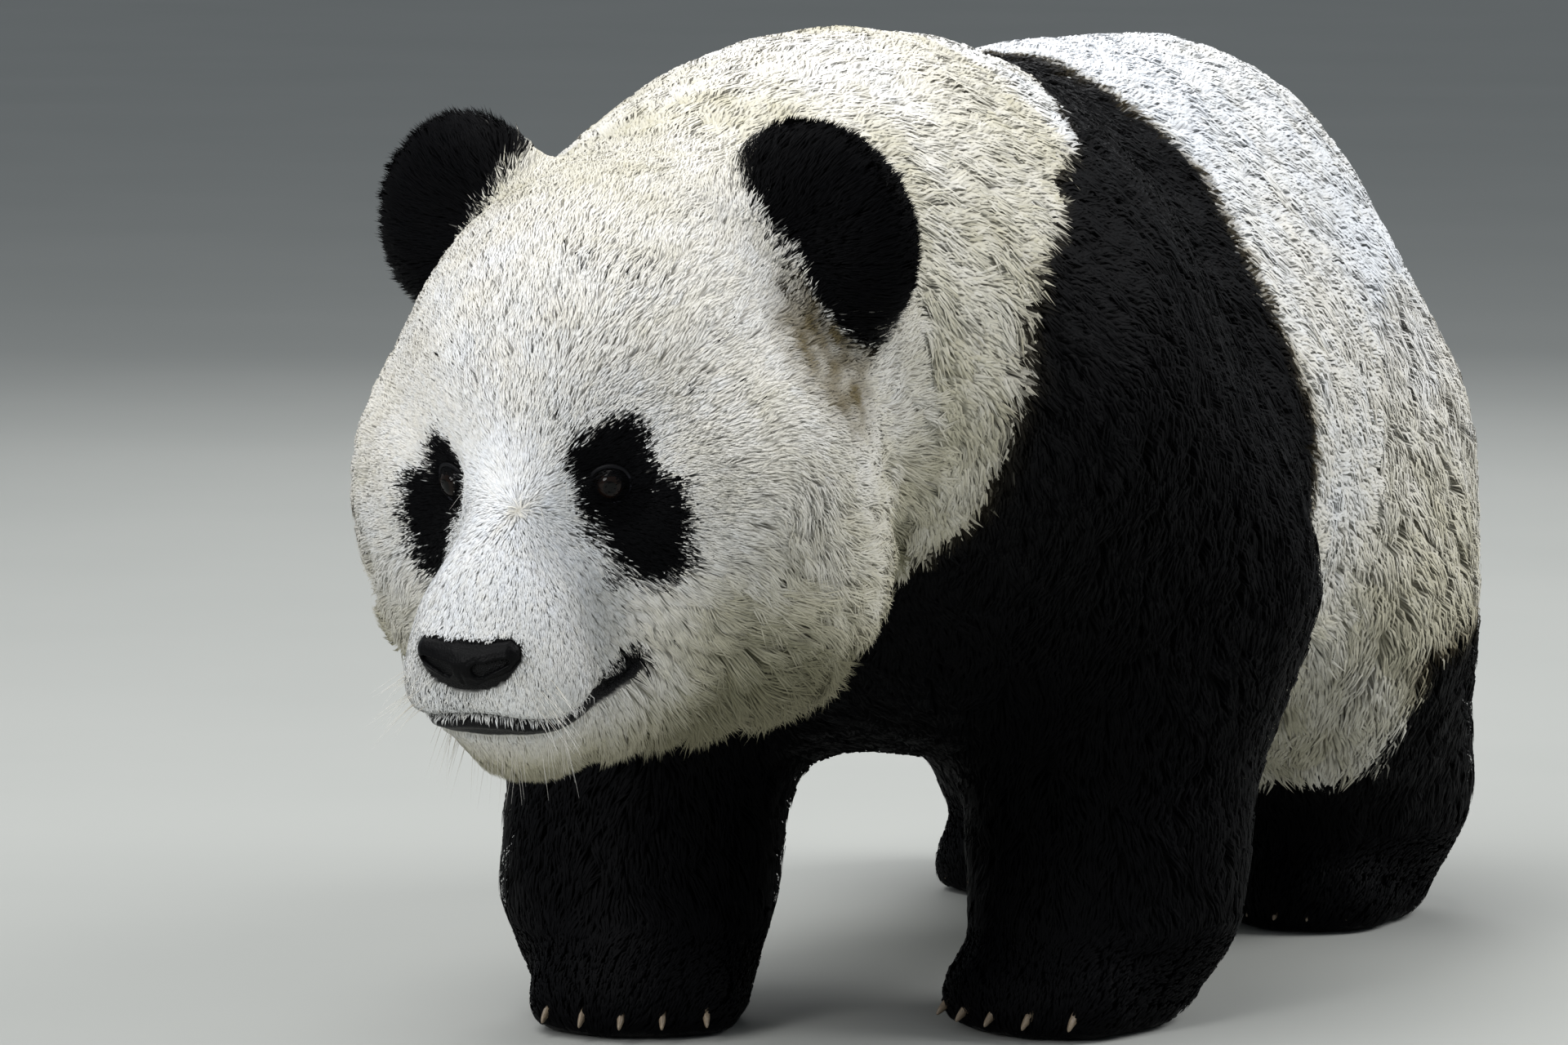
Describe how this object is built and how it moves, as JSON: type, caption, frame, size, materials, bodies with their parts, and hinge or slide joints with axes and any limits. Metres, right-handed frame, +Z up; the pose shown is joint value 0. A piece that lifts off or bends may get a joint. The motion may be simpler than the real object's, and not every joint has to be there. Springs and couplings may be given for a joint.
{
  "type": "giant panda",
  "caption": "Life-size giant panda walking on all fours, head held low and forward, white coat with black ears, eye patches, shoulder band and legs.",
  "frame": {"origin": "middle of the box in plan, on the floor under the paws", "axes": "the panda faces -Y, its left side is +X, up is +Z"},
  "size_m": [0.6062, 1.4906, 0.7216],
  "materials": {
    "white_coat": "cream-white fur, dusty towards the cheeks and belly",
    "black_coat": "black fur with a soft sheen",
    "eye": "glossy dark brown eye",
    "nose_skin": "damp black nose leather",
    "claw": "horn, grey-brown"
  },
  "bodies": {
    "root": {"head": "white_coat", "lower_jaw": "white_coat", "neck": "white_coat", "trunk": "white_coat", "tail": "white_coat", "ear_left": "black_coat", "ear_right": "black_coat", "upper_foreleg_left": "black_coat", "upper_foreleg_right": "black_coat", "forearm_left": "black_coat", "forearm_right": "black_coat", "forepaw_left": "black_coat", "forepaw_right": "black_coat", "thigh_left": "black_coat", "thigh_right": "black_coat", "shank_left": "black_coat", "shank_right": "black_coat", "hindpaw_left": "black_coat", "hindpaw_right": "black_coat", "eye_left": "eye", "eye_right": "eye", "nose": "nose_skin", "claw_fore_left_1": "claw", "claw_fore_left_2": "claw", "claw_fore_left_3": "claw", "claw_fore_left_4": "claw", "claw_fore_left_5": "claw", "claw_fore_right_1": "claw", "claw_fore_right_2": "claw", "claw_fore_right_3": "claw", "claw_fore_right_4": "claw", "claw_fore_right_5": "claw", "claw_hind_left_1": "claw", "claw_hind_left_2": "claw", "claw_hind_left_3": "claw", "claw_hind_left_4": "claw", "claw_hind_left_5": "claw", "claw_hind_right_1": "claw", "claw_hind_right_2": "claw", "claw_hind_right_3": "claw", "claw_hind_right_4": "claw", "claw_hind_right_5": "claw"}
  },
  "joints": []
}
